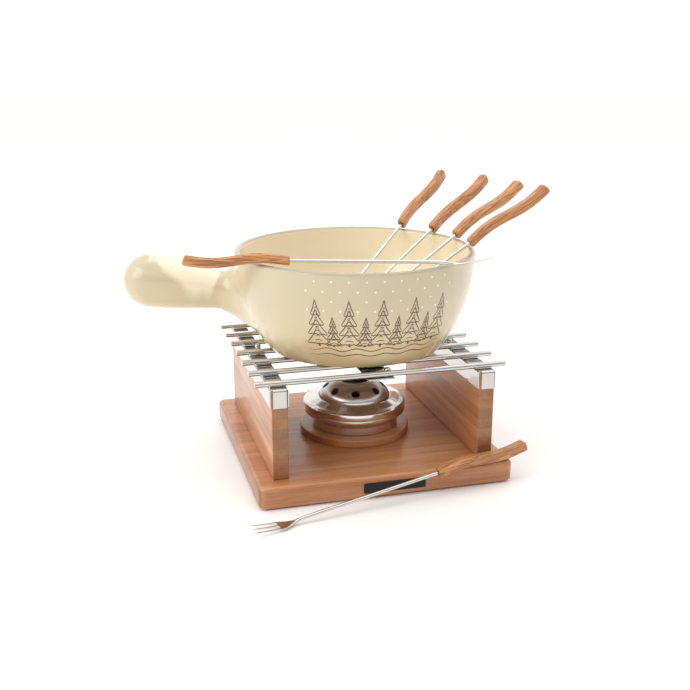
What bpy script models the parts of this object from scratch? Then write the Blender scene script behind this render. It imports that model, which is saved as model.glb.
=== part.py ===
"""Fondue pot set: a glazed pot with a side handle, standing on a chrome grate over a wooden stand,
with a fuel burner on a raised seat and six long forks.

Units are metres and +Z is up. The origin is the middle of the base board's underside. The two walls of
the stand face +X and -X, and the stand is open at the front, -Y, and at the back, +Y.
"""
from math import asin, cos, pi, radians, sin

import bmesh
import bpy
from mathutils import Euler, Matrix, Vector

GAP = 0.0003  # clearance between pieces that touch

# Stand
BASE_SIDE = 0.230
BASE_HEIGHT = 0.020
BASE_ROUNDING = 0.0045
WALL_THICKNESS = 0.014
WALL_DEPTH = 0.200
WALL_HEIGHT = 0.080
WALL_CENTRE_X = 0.093
WALL_BOTTOM = BASE_HEIGHT + GAP
WALL_TOP = WALL_BOTTOM + WALL_HEIGHT
SEAT_RADIUS = 0.052
SEAT_HEIGHT = 0.007
SEAT_TOP = BASE_HEIGHT + GAP + SEAT_HEIGHT
PLAQUE_SIZE = (0.056, 0.0008, 0.0092)
PLAQUE_X = 0.0040

# Wood screws that hold the walls from below
SCREW_HEAD_RADIUS = 0.0040
SCREW_SHANK_RADIUS = 0.00175
SCREW_HEAD_LENGTH = 0.0030
SCREW_LENGTH = 0.040
SCREW_RECESS = 0.0008
SCREW_Y = 0.070

# Grate: two folded channels over the walls, seven round bars, four stops for the pot
SHEET = 0.0010
CHANNEL_DROP = 0.0165
CHANNEL_TOP = WALL_TOP + GAP + SHEET
CHANNEL_SLOT = 0.0012
BAR_COUNT = 7
BAR_RADIUS = 0.0025
BAR_LENGTH = 0.225
BAR_PITCH = 0.0307
BAR_Z = CHANNEL_TOP + GAP + BAR_RADIUS
STOP_RADIUS = 0.0029
STOP_Z = CHANNEL_TOP + GAP + STOP_RADIUS
STOP_PLATE_SIZE = (0.024, 0.040, 0.0012)
SIDE_STOP = Vector((0.0895, BAR_PITCH / 2, STOP_Z))
END_STOP = Vector((-0.006, 0.084, STOP_Z))

# Pot
POT_Z = BAR_Z + BAR_RADIUS + GAP
POT_HEIGHT = 0.0896
POT_RADIUS = 0.110
POT_FOOT_RADIUS = 0.080
POT_WALL = 0.006
POT_FLOOR = 0.007
POT_LIP = 0.0025
POT_SIDES = 44
HANDLE_TURN = radians(165)
HANDLE_FLATTENING = 0.93
RIM_Z = POT_Z + POT_HEIGHT

# Forks: along its own X axis, a fork has its tines at -X and its wooden handle at +X
FORK_REACH = 0.172
GRIP_LENGTH = 0.090
GRIP_HALF_WIDTH = 0.0055
GRIP_HALF_THICKNESS = 0.0044
GRIP_CHAMFER = 0.0018
GRIP_WAVE = 0.0023
SHAFT_RADIUS = 0.0016
TANG_LENGTH = 0.018
PALM_HALF_WIDTH = 0.0070

# Burner
BURNER_Z = SEAT_TOP + GAP
BURNER_SHEET = 0.0008
CUP_RADIUS = 0.0415
CUP_RIM_RADIUS = 0.0485
CUP_STRAIGHT = 0.007
CUP_FLARED = 0.014
CUP_HEIGHT = 0.0164
CUP_SIDES = 36
COVER_SEAT_RADIUS = 0.0350
DOME_RADIUS = 0.0332
DOME_BASE_Z = 0.0284
DOME_RISE = 0.0135
FLAME_OPENING_RADIUS = 0.014
HOLE_COUNT = 8
HOLE_RADIUS = 0.0040
HOLE_START = radians(-103)
LEDGE_EDGE = 0.0320
SLOT_ANGLES = (radians(126), radians(172))
SLOT_Z = 0.0186
SLOT_HEIGHT = 0.0028
REGULATOR_ARM_ANGLE = radians(132)
REGULATOR_REACH = 0.054


def remove_everything():
    for thing in list(bpy.data.objects):
        bpy.data.objects.remove(thing, do_unlink=True)


def make_material(name, colour, roughness, metallic=0.0):
    material = bpy.data.materials.new(name)
    material.use_nodes = True
    shader = material.node_tree.nodes["Principled BSDF"]
    shader.inputs["Base Color"].default_value = (*colour, 1.0)
    shader.inputs["Roughness"].default_value = roughness
    shader.inputs["Metallic"].default_value = metallic
    return material


def make_assembly(name, frame=None):
    """Add an empty that carries the pieces which move together."""
    assembly = bpy.data.objects.new(name + "_assembly", None)
    bpy.context.collection.objects.link(assembly)
    assembly.matrix_world = frame or Matrix.Identity(4)
    return assembly


def mesh_from(name, shape):
    """Turn a bmesh into a mesh with its faces pointing out."""
    bmesh.ops.recalc_face_normals(shape, faces=shape.faces)
    mesh = bpy.data.meshes.new(name)
    shape.to_mesh(mesh)
    shape.free()
    return mesh


def place(name, mesh, material, assembly, location=(0, 0, 0), rotation=(0, 0, 0)):
    """Add a named piece to its assembly."""
    if not mesh.materials:
        mesh.materials.append(material)
    mesh.shade_smooth()
    mesh.set_sharp_from_angle(angle=radians(35))
    piece = bpy.data.objects.new(name, mesh)
    bpy.context.collection.objects.link(piece)
    piece.parent = assembly
    piece.location = location
    piece.rotation_euler = rotation
    return piece


def box_shape(size, centre=(0, 0, 0), rounding=0.0, segments=1):
    shape = bmesh.new()
    bmesh.ops.create_cube(shape, size=1.0)
    bmesh.ops.scale(shape, vec=size, verts=shape.verts)
    if rounding:
        bmesh.ops.bevel(shape, geom=shape.edges, offset=rounding, segments=segments, profile=0.5,
                        affect="EDGES")
    bmesh.ops.translate(shape, vec=centre, verts=shape.verts)
    return shape


def turned_shape(outline, sides):
    """Turn (radius, height) points about Z. An outline off the axis is a closed loop, a ring."""
    shape = bmesh.new()
    rings = []
    for radius, height in outline:
        if radius == 0:
            rings.append([shape.verts.new((0, 0, height))])
            continue
        angles = [2 * pi * side / sides for side in range(sides)]
        rings.append([shape.verts.new((radius * cos(a), radius * sin(a), height)) for a in angles])
    if all(radius > 0 for radius, _ in outline):
        rings.append(rings[0])
    for ring, following in zip(rings, rings[1:]):
        for side in range(sides):
            after = (side + 1) % sides
            if len(ring) == 1:
                shape.faces.new((ring[0], following[after], following[side]))
            elif len(following) == 1:
                shape.faces.new((ring[side], ring[after], following[0]))
            else:
                shape.faces.new((ring[side], ring[after], following[after], following[side]))
    return shape


def lofted_shape(sections):
    """Skin a row of point rings and close both ends."""
    shape = bmesh.new()
    rings = [[shape.verts.new(point) for point in section] for section in sections]
    bridge(shape, rings)
    shape.faces.new(rings[0])
    shape.faces.new(rings[-1])
    return shape


def bridge(shape, rings):
    """Join each ring of vertices to the next with four-sided faces."""
    for ring, following in zip(rings, rings[1:]):
        for index, corner in enumerate(ring):
            after = (index + 1) % len(ring)
            shape.faces.new((corner, ring[after], following[after], following[index]))


def copies(shape, frames):
    """Return one shape that holds a copy of the given shape at each frame."""
    pattern = bmesh.new()
    mesh = bpy.data.meshes.new("pattern")
    for frame in frames:
        single = shape.copy()
        single.transform(frame)
        single.to_mesh(mesh)
        pattern.from_mesh(mesh)
        single.free()
    bpy.data.meshes.remove(mesh)
    shape.free()
    return pattern


def combine(blank, *steps):
    """Cut or join shapes, each given with its Boolean operation, and return the finished mesh."""
    body = bpy.data.objects.new("blank", mesh_from("blank", blank))
    bpy.context.collection.objects.link(body)
    tools = []
    for shape, operation in steps:
        tool = bpy.data.objects.new("tool", mesh_from("tool", shape))
        bpy.context.collection.objects.link(tool)
        tool.hide_render = True
        tool.display_type = "WIRE"
        modifier = body.modifiers.new("step", "BOOLEAN")
        modifier.operation = operation
        modifier.object = tool
        tools.append(tool)
    result = body.evaluated_get(bpy.context.evaluated_depsgraph_get())
    mesh = bpy.data.meshes.new_from_object(result)
    for thing in (body, *tools):
        bpy.data.objects.remove(thing, do_unlink=True)
    return mesh


def screw_outline(clearance):
    """Half outline of a countersunk screw, head face at 0 and point at the top, or of its hole."""
    head = SCREW_HEAD_RADIUS + clearance
    shank = SCREW_SHANK_RADIUS + clearance
    below = -10 * clearance
    return [(0, below), (head, below), (head, 0.0002), (shank, SCREW_HEAD_LENGTH),
            (shank, SCREW_LENGTH - 0.004), (0, SCREW_LENGTH + clearance)]


def build_stand(wood, steel, dark):
    stand = make_assembly("stand")
    corners = [Matrix.Translation((x, y, SCREW_RECESS))
               for x in (-WALL_CENTRE_X, WALL_CENTRE_X) for y in (-SCREW_Y, SCREW_Y)]

    board = box_shape((BASE_SIDE, BASE_SIDE, BASE_HEIGHT), (0, 0, BASE_HEIGHT / 2), BASE_ROUNDING, 3)
    holes = copies(turned_shape(screw_outline(GAP), 16), corners)
    place("base_board", combine(board, (holes, "DIFFERENCE")), wood, stand)

    for side, name in ((-1, "left"), (1, "right")):
        centre = (side * WALL_CENTRE_X, 0, WALL_BOTTOM + WALL_HEIGHT / 2)
        wall = box_shape((WALL_THICKNESS, WALL_DEPTH, WALL_HEIGHT), centre, 0.0006)
        places = [frame for frame in corners if frame.translation.x * side > 0]
        pilots = copies(turned_shape(screw_outline(GAP), 16), places)
        place(name + "_wall", combine(wall, (pilots, "DIFFERENCE")), wood, stand)

    screw = mesh_from("wall_screw", turned_shape(screw_outline(0), 12))
    for number, frame in enumerate(corners, 1):
        place(f"wall_screw_{number}", screw, steel, stand, frame.translation)

    edge = 0.0012
    seat = [(0, 0), (SEAT_RADIUS, 0), (SEAT_RADIUS, SEAT_HEIGHT - edge),
            (SEAT_RADIUS - edge, SEAT_HEIGHT), (0, SEAT_HEIGHT)]
    place("burner_seat", mesh_from("burner_seat", turned_shape(seat, 48)), wood, stand,
          (0, 0, BASE_HEIGHT + GAP))

    front = -BASE_SIDE / 2 - GAP - PLAQUE_SIZE[1] / 2
    plaque = mesh_from("blank_plaque", box_shape(PLAQUE_SIZE))
    place("blank_plaque", plaque, dark, stand, (PLAQUE_X, front, BASE_HEIGHT / 2))


def channel_mesh():
    """An inverted folded channel with turned-down end tabs, open at its four corners."""
    inner_width = WALL_THICKNESS + 2 * GAP
    inner_depth = WALL_DEPTH + 2 * GAP
    width = inner_width + 2 * SHEET
    depth = inner_depth + 2 * SHEET
    outer = box_shape((width, depth, 2 * CHANNEL_DROP), rounding=0.0014, segments=2)
    lower_half = box_shape((2 * width, 2 * depth, 2 * CHANNEL_DROP), (0, 0, -CHANNEL_DROP))
    inside = box_shape((inner_width, inner_depth, 2 * (CHANNEL_DROP - SHEET)))
    # Between a flange and an end tab, the sheet is cut away up to just under the folds.
    slot_size = (CHANNEL_SLOT, 4 * SHEET, 2 * (CHANNEL_DROP - 0.0022))
    slots = copies(box_shape(slot_size), [
        Matrix.Translation((x * (inner_width - CHANNEL_SLOT) / 2, y * depth / 2, 0))
        for x in (-1, 1) for y in (-1, 1)])
    return combine(outer, (inside, "DIFFERENCE"), (slots, "DIFFERENCE"), (lower_half, "DIFFERENCE"))


def build_grate(chrome):
    grate = make_assembly("grate")
    channel = channel_mesh()
    for side, name in ((-1, "left"), (1, "right")):
        place(name + "_channel", channel, chrome, grate,
              (side * WALL_CENTRE_X, 0, CHANNEL_TOP - CHANNEL_DROP))

    edge = 0.0004
    half = BAR_LENGTH / 2
    outline = [(0, -half), (BAR_RADIUS - edge, -half), (BAR_RADIUS, edge - half),
               (BAR_RADIUS, half - edge), (BAR_RADIUS - edge, half), (0, half)]
    bar = mesh_from("bar", turned_shape(outline, 12))
    for number in range(BAR_COUNT):
        y = (number - (BAR_COUNT - 1) / 2) * BAR_PITCH
        place(f"grate_bar_{number + 1}", bar, chrome, grate, (0, y, BAR_Z), (0, pi / 2, 0))

    plate = mesh_from("stop_plate", box_shape(STOP_PLATE_SIZE, rounding=0.0003))
    ball_outline = [(STOP_RADIUS * sin(pi * step / 6), -STOP_RADIUS * cos(pi * step / 6))
                    for step in range(1, 6)]
    ball = mesh_from("stop_ball", turned_shape(
        [(0, -STOP_RADIUS), *ball_outline, (0, STOP_RADIUS)], 10))
    plate_y = (BAR_COUNT / 2 - 1) * BAR_PITCH
    plate_z = BAR_Z - BAR_RADIUS - GAP - STOP_PLATE_SIZE[2] / 2
    for turn, end, side in ((1, "back", "right"), (-1, "front", "left")):
        place(end + "_stop_plate", plate, chrome, grate, (turn * 0.003, turn * plate_y, plate_z))
        place(end + "_stop_ball", ball, chrome, grate, (END_STOP.x * turn, END_STOP.y * turn, STOP_Z))
        place(side + "_stop_ball", ball, chrome, grate, (SIDE_STOP.x * turn, -SIDE_STOP.y * turn, STOP_Z))


def bowl_curve(foot_radius, rim_radius, floor, steps):
    """Points of the rounded bowl wall, from the edge of its foot up to its rim."""
    depth = POT_HEIGHT - floor
    points = []
    for step in range(steps + 1):
        angle = pi / 2 * (1 - step / steps)
        radius = foot_radius + (rim_radius - foot_radius) * cos(angle) ** 1.75
        points.append((radius, floor + depth * (1 - sin(angle) ** 0.94)))
    return points


def pot_handle_shape():
    """A bulbous handle: each row is the distance out, the height of its middle and its radius."""
    rows = ((0.088, 0.0380, 0.0240), (0.100, 0.0415, 0.0208), (0.112, 0.0450, 0.0177),
            (0.125, 0.0487, 0.0166), (0.142, 0.0523, 0.0195), (0.160, 0.0555, 0.0230),
            (0.178, 0.0578, 0.0245), (0.193, 0.0592, 0.0228), (0.204, 0.0600, 0.0180),
            (0.211, 0.0604, 0.0100), (0.2132, 0.0605, 0.0030))
    corners = 16
    sections = []
    for distance, middle, radius in rows:
        angles = [2 * pi * corner / corners for corner in range(corners)]
        sections.append([(distance, HANDLE_FLATTENING * radius * cos(a), middle + radius * sin(a))
                         for a in angles])
    return lofted_shape(sections)


def build_pot(glaze):
    frame = Matrix.Translation((0, 0, POT_Z)) @ Matrix.Rotation(HANDLE_TURN, 4, "Z")
    pot = make_assembly("pot", frame)
    crest = POT_RADIUS - POT_WALL / 2
    half_crest = POT_WALL / 2 - POT_LIP

    def lip(side):
        """The rounded half of the rim on the outer (1) or inner (-1) side, from the side upward."""
        centre = crest + side * half_crest
        return [(centre + side * POT_LIP * cos(a), POT_HEIGHT - POT_LIP + POT_LIP * sin(a))
                for a in (0, pi / 6, pi / 3, pi / 2)]

    outside = bowl_curve(POT_FOOT_RADIUS, POT_RADIUS, 0, 11)[:-1]
    inside = bowl_curve(POT_FOOT_RADIUS - POT_WALL - 0.002, POT_RADIUS - POT_WALL, POT_FLOOR, 9)[:-1]
    above = POT_HEIGHT + 0.005
    solid = turned_shape([(0, 0), *outside, *lip(1), (0, POT_HEIGHT)], POT_SIDES)
    cavity = turned_shape([(0, POT_FLOOR), *inside, *lip(-1), (crest - half_crest, above), (0, above)],
                          POT_SIDES)
    mesh = combine(solid, (pot_handle_shape(), "UNION"), (cavity, "DIFFERENCE"))
    place("pot", mesh, glaze, pot)


def grip_mesh():
    """A wavy wooden grip with a chamfered section and a blind bore for the shaft's tang."""
    bore_radius = SHAFT_RADIUS + 0.0005
    bore = [[(x, bore_radius * cos(radians(45 * k - 22.5)), bore_radius * sin(radians(45 * k - 22.5)))
             for k in range(8)] for x in (TANG_LENGTH + GAP, 0)]
    sections = []
    steps = 10
    for step in range(steps + 1):
        along = step / steps
        growth = 0.94 + 0.10 * along
        rise = GRIP_WAVE * sin(2 * pi * along)
        sections.append(grip_section(along * (GRIP_LENGTH - 0.0015), rise, growth))
    sections.append(grip_section(GRIP_LENGTH, 0.0003, 0.80))
    return mesh_from("grip", lofted_shape([*bore, *sections]))


def grip_section(x, rise, growth):
    """One eight-cornered section of the grip. The far end is cut at a slant."""
    slant = 0.25 if x > GRIP_LENGTH * 0.9 else 0.0
    wide = GRIP_HALF_WIDTH * growth
    thick = GRIP_HALF_THICKNESS * growth
    wide_flat = wide - GRIP_CHAMFER
    thick_flat = thick - GRIP_CHAMFER
    corners = [(wide, -thick_flat), (wide, thick_flat), (wide_flat, thick), (-wide_flat, thick),
               (-wide, thick_flat), (-wide, -thick_flat), (-wide_flat, -thick), (wide_flat, -thick)]
    return [(x - slant * z, y, z + rise) for y, z in corners]


def shaft_mesh():
    """A steel rod that flattens into a palm with three tines, with twelve corners to a section."""
    def round_section(x, radius, rise=0.0):
        return [(x, radius * cos(radians(165 - 30 * k)), rise + radius * sin(radians(165 - 30 * k)))
                for k in range(12)]

    # The palm's corners stand where the three tines' edges start.
    spacing = (-1.0, -0.62, -0.19, 0.19, 0.62, 1.0)

    def flat_section(x, half_width, half_thickness, rise):
        over = [(x, half_width * part, rise + half_thickness) for part in spacing]
        under = [(x, half_width * part, rise - half_thickness) for part in reversed(spacing)]
        return over + under

    sections = [round_section(TANG_LENGTH, SHAFT_RADIUS), round_section(0, SHAFT_RADIUS),
                round_section(-0.124, SHAFT_RADIUS), round_section(-0.133, 0.0013, -0.0007),
                flat_section(-0.138, 0.0021, 0.0010, -0.0013),
                flat_section(-0.143, 0.0050, 0.0007, -0.0012),
                flat_section(-0.148, PALM_HALF_WIDTH, 0.0006, -0.0005)]
    shape = bmesh.new()
    rings = [[shape.verts.new(point) for point in section] for section in sections]
    bridge(shape, rings)
    shape.faces.new(rings[0])
    palm = rings[-1]
    for tine in range(3):
        left, right = 2 * tine, 2 * tine + 1
        root = [palm[left], palm[right], palm[11 - right], palm[11 - left]]
        tine_rings = [root]
        for x, spread, rise, half_width, half_thickness in (
                (-0.160, 0.0063, 0.0017, 0.0010, 0.0005), (-FORK_REACH, 0.0070, 0.0042, 0.0003, 0.0003)):
            y = (tine - 1) * spread
            tine_rings.append([shape.verts.new(corner) for corner in (
                (x, y - half_width, rise + half_thickness), (x, y + half_width, rise + half_thickness),
                (x, y + half_width, rise - half_thickness), (x, y - half_width, rise - half_thickness))])
        bridge(shape, tine_rings)
        shape.faces.new(tine_rings[-1])
        if tine < 2:
            shape.faces.new((palm[right], palm[right + 1], palm[10 - right], palm[11 - right]))
    return mesh_from("shaft", shape)


def over_rim(angle, height):
    """A point above the crest of the pot's rim."""
    crest = POT_RADIUS - POT_WALL / 2
    return Vector((crest * cos(radians(angle)), crest * sin(radians(angle)), RIM_Z + height))


def fork_frame(tip, aim, roll):
    """The frame of a fork whose axis runs from its tip through another point."""
    along = (aim - tip).normalized()
    across = Vector((0, 0, 1)).cross(along).normalized()
    upward = along.cross(across)
    frame = Matrix((along, across, upward)).transposed().to_4x4()
    frame.translation = tip + FORK_REACH * along
    return frame @ Matrix.Rotation(radians(roll), 4, "X")


def build_forks(wood, steel):
    """Four forks lean in the pot, one lies across its rim, one leans on the front of the base."""
    floor = POT_Z + POT_FLOOR
    places = (
        (Vector((-0.0460, -0.0215, floor + 0.0072)), over_rim(47.0, 0.0068), -90),
        (Vector((-0.0413, -0.0275, floor + 0.0072)), over_rim(26.6, 0.0068), -90),
        (Vector((-0.0401, -0.0363, floor + 0.0044)), over_rim(6.4, 0.0062), 0),
        (Vector((-0.0468, -0.0483, floor - 0.0012)), over_rim(-17.9, 0.0064), 0),
        (Vector((0.0901, -0.1107, RIM_Z + 0.0037)), Vector((-0.0931, -0.0526, RIM_Z + 0.0037)), 12.2),
        (Vector((-0.1270, -0.1510, -0.0008)), Vector((0.0999, -0.1110, 0.0268)), 0),
    )
    grip = grip_mesh()
    shaft = shaft_mesh()
    for number, (tip, aim, roll) in enumerate(places, 1):
        fork = make_assembly(f"fork_{number}", fork_frame(tip, aim, roll))
        place(f"fork_{number}_grip", grip, wood, fork)
        place(f"fork_{number}_shaft", shaft, steel, fork)


def cup_outline(offset):
    """Half outline of the fuel cup's outer side, moved inward by an offset, from foot to rim."""
    radius = CUP_RADIUS - offset
    rim = CUP_RIM_RADIUS - offset
    foot = offset
    return [(radius - 0.0015, foot), (radius, foot + 0.0015), (radius, CUP_STRAIGHT),
            (rim, CUP_FLARED), (rim, CUP_HEIGHT)]


def dome_curve(thickness_in, steps):
    """Points of the burner's domed top, from its opening down to its widest ring."""
    reach = DOME_RADIUS - FLAME_OPENING_RADIUS - thickness_in
    rise = DOME_RISE - thickness_in
    return [(FLAME_OPENING_RADIUS + reach * sin(pi / 2 * step / steps),
             DOME_BASE_Z + rise * cos(pi / 2 * step / steps)) for step in range(steps + 1)]


def hole_pins():
    """Eight radial pins, square to the dome half way up, that cut its flame holes."""
    angle = radians(42)
    reach = DOME_RADIUS - FLAME_OPENING_RADIUS
    centre_radius = FLAME_OPENING_RADIUS + reach * cos(angle)
    centre_height = DOME_BASE_Z + DOME_RISE * sin(angle)
    slope = Vector((cos(angle) / reach, 0, sin(angle) / DOME_RISE)).normalized()
    tilt = pi / 2 - asin(slope.z)
    pin = turned_shape([(0, -0.006), (HOLE_RADIUS, -0.006), (HOLE_RADIUS, 0.006), (0, 0.006)], 10)
    frames = []
    for number in range(HOLE_COUNT):
        around = Matrix.Rotation(HOLE_START + 2 * pi * number / HOLE_COUNT, 4, "Z")
        outward = Matrix.Translation((centre_radius, 0, centre_height))
        frames.append(around @ outward @ Euler((0, tilt, 0)).to_matrix().to_4x4())
    return copies(pin, frames)


def build_burner(steel, wool):
    base_frame = Matrix.Translation((0, 0, BURNER_Z))
    burner = make_assembly("burner", base_frame)
    outer, inner = cup_outline(0), cup_outline(BURNER_SHEET)
    cup = [(0, 0), *outer, *reversed(inner), (0, BURNER_SHEET)]
    place("fuel_cup", mesh_from("fuel_cup", turned_shape(cup, CUP_SIDES)), steel, burner)
    pad_radius = CUP_RADIUS - BURNER_SHEET - 2 * GAP
    pad_bottom = BURNER_SHEET + GAP
    pad_top = CUP_STRAIGHT + 0.0012
    pad = [(0, pad_bottom), (pad_radius - 0.0015, pad_bottom), (pad_radius, pad_bottom + 0.0015),
           (pad_radius, pad_top), (0, pad_top)]
    place("wool_pad", mesh_from("wool_pad", turned_shape(pad, 24)), wool, burner)
    gauze = [(0, 0), (pad_radius, 0), (pad_radius, 0.0006), (0, 0.0006)]
    place("wire_gauze", mesh_from("wire_gauze", turned_shape(gauze, 24)), steel, burner,
          (0, 0, pad_top + GAP))

    top = make_assembly("burner_top", base_frame)
    place("burner_cover", cover_mesh(), steel, top)
    foot_z = ledge_top() + GAP
    skin = BURNER_SHEET
    dome = [*dome_curve(0, 5), (DOME_RADIUS, foot_z), (DOME_RADIUS - skin, foot_z),
            *reversed(dome_curve(skin, 5))]
    place("flame_dome", combine(turned_shape(dome, 32), (hole_pins(), "DIFFERENCE")), steel, top)

    regulator = make_assembly("regulator", base_frame)
    place("flame_regulator", regulator_mesh(foot_z), steel, regulator)


def ledge_top():
    """Height of the ledge in the cover that the dome stands on."""
    return DOME_BASE_Z - 0.0054


def cover_mesh():
    """The burner's cover: a band round the cup's rim, a sloping top and a ledge for the dome."""
    sheet = BURNER_SHEET
    seam = CUP_HEIGHT + GAP
    band = CUP_RIM_RADIUS
    tongue = band - sheet - GAP  # the part of the band that drops inside the cup's rim
    collar = COVER_SEAT_RADIUS
    ledge = ledge_top()
    outline = [(band, seam), (band, 0.0204), (band - 0.0015, 0.0228), (0.0435, 0.0238), (collar, 0.0270),
               (collar - sheet, 0.0270), (collar - sheet, ledge), (LEDGE_EDGE, ledge),
               (LEDGE_EDGE, ledge - sheet), (collar, ledge - sheet), (collar, 0.0261), (0.0433, 0.0229),
               (tongue - sheet, 0.0215), (tongue - sheet, seam - 0.0018), (tongue, seam - 0.0018),
               (tongue, seam)]
    start, end = SLOT_ANGLES
    angles = [start + (end - start) * step / 6 for step in range(7)]
    inner = [((band - 0.004) * cos(a), (band - 0.004) * sin(a)) for a in angles]
    outer = [((band + 0.004) * cos(a), (band + 0.004) * sin(a)) for a in reversed(angles)]
    slot = lofted_shape([[(x, y, z) for x, y in inner + outer] for z in (SLOT_Z, SLOT_Z + SLOT_HEIGHT)])
    return combine(turned_shape(outline, CUP_SIDES), (slot, "DIFFERENCE"))


def regulator_mesh(foot_z):
    """A perforated inner dome that turns by its arm and covers or clears the flame holes."""
    sheet = BURNER_SHEET
    inset = sheet + 0.0006
    outer = dome_curve(inset, 5)
    inner = dome_curve(inset + sheet, 5)
    flange = DOME_RADIUS - sheet - 0.0004
    skirt = LEDGE_EDGE - 0.0005
    foot = SLOT_Z + 0.0006
    outline = [*outer, (outer[-1][0], foot_z + 0.0007), (flange, foot_z + 0.0007), (flange, foot_z),
               (skirt, foot_z), (skirt, foot), (skirt - sheet, foot), (skirt - sheet, foot_z),
               *reversed(inner)]
    start = skirt - sheet / 2
    arm = box_shape((REGULATOR_REACH - start, 0.005, 0.0012),
                    ((REGULATOR_REACH + start) / 2, 0, foot + 0.0007))
    arm.transform(Matrix.Rotation(REGULATOR_ARM_ANGLE, 4, "Z"))
    return combine(turned_shape(outline, 32), (hole_pins(), "DIFFERENCE"), (arm, "UNION"))


def main():
    remove_everything()
    board_wood = make_material("bamboo", (0.52, 0.24, 0.10), 0.45)
    grip_wood = make_material("olive_wood", (0.45, 0.17, 0.06), 0.5)
    chrome = make_material("chrome", (0.80, 0.80, 0.80), 0.10, 1.0)
    steel = make_material("brushed_steel", (0.62, 0.60, 0.57), 0.30, 1.0)
    glaze = make_material("cream_glaze", (0.74, 0.61, 0.40), 0.22)
    dark = make_material("plaque_black", (0.012, 0.011, 0.010), 0.40)
    wool = make_material("mineral_wool", (0.55, 0.52, 0.46), 0.95)
    build_stand(board_wood, steel, dark)
    build_grate(chrome)
    build_pot(glaze)
    build_forks(grip_wood, steel)
    build_burner(steel, wool)


main()
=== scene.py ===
"""Looks of the fondue pot set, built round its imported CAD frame.

Metres and +Z up, in the frame's own place. -Y is the open front of the stand. Each piece stands for a CAD
node, at the node's size and place, with finer shape and its own material.
"""
from math import cos, pi, radians, sin, sqrt
from random import Random

import bmesh
import bpy
import numpy as np
from mathutils import Matrix, Vector
from mathutils.noise import fractal


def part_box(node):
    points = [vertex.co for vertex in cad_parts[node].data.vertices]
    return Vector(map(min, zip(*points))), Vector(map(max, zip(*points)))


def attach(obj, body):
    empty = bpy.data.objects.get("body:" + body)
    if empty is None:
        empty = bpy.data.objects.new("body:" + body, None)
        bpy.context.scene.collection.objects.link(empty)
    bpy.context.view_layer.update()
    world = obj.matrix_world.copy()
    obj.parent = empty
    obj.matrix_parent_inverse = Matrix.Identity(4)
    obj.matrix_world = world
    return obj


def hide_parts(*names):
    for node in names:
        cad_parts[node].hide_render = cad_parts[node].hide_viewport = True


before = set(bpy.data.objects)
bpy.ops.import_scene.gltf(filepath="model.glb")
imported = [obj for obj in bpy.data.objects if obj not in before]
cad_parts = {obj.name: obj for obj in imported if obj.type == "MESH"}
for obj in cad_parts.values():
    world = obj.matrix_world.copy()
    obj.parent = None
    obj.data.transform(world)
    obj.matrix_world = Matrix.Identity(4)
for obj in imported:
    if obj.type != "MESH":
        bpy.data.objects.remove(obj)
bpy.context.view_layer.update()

MM = 0.001
CLEARANCE = 0.3 * MM
SHARP = radians(32)

# The pot's section, as in the CAD design
POT_LOW, POT_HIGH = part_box("pot")
POT_HEIGHT = POT_HIGH.z - POT_LOW.z
POT_RADIUS = 0.110
POT_FOOT_RADIUS = 0.080
POT_WALL = 0.006
POT_FLOOR = 0.007
POT_LIP = 0.0025
BOWL_ROUNDNESS = 1.75
BOWL_STEEPNESS = 0.94
HANDLE_TURN = radians(165)
POT_FRAME = Matrix.Translation((0, 0, POT_LOW.z)) @ Matrix.Rotation(HANDLE_TURN, 4, "Z")

# The forks' section, as in the CAD design
FORK_REACH = 0.172
GRIP_LENGTH = 0.090
GRIP_WAVE = 0.0023
ROD_RADIUS = 0.0016
TANG_LENGTH = 0.018


# ---------------------------------------------------------------- shader nodes


class NodeTree:
    """Short ways to add nodes to a tree and join them."""

    def __init__(self, tree):
        self.tree = tree

    def node(self, kind, inputs=None, **settings):
        node = self.tree.nodes.new("ShaderNode" + kind)
        for name, value in settings.items():
            setattr(node, name, value)
        for socket, value in (inputs or {}).items():
            if isinstance(value, bpy.types.NodeSocket):
                self.tree.links.new(value, node.inputs[socket])
            else:
                node.inputs[socket].default_value = value
        return node

    def maths(self, operation, first, second=0.0):
        return self.node("Math", {0: first, 1: second}, operation=operation).outputs[0]

    def parts(self, vector):
        """The three parts of a vector."""
        return self.node("SeparateXYZ", {0: vector}).outputs

    def spread(self, value, low, high, from_low=0.0, from_high=1.0, curve="LINEAR"):
        """Map a value from one range to another, held at both ends."""
        sockets = {"Value": value, "From Min": from_low, "From Max": from_high, "To Min": low,
                   "To Max": high}
        return self.node("MapRange", sockets, interpolation_type=curve).outputs[0]


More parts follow.
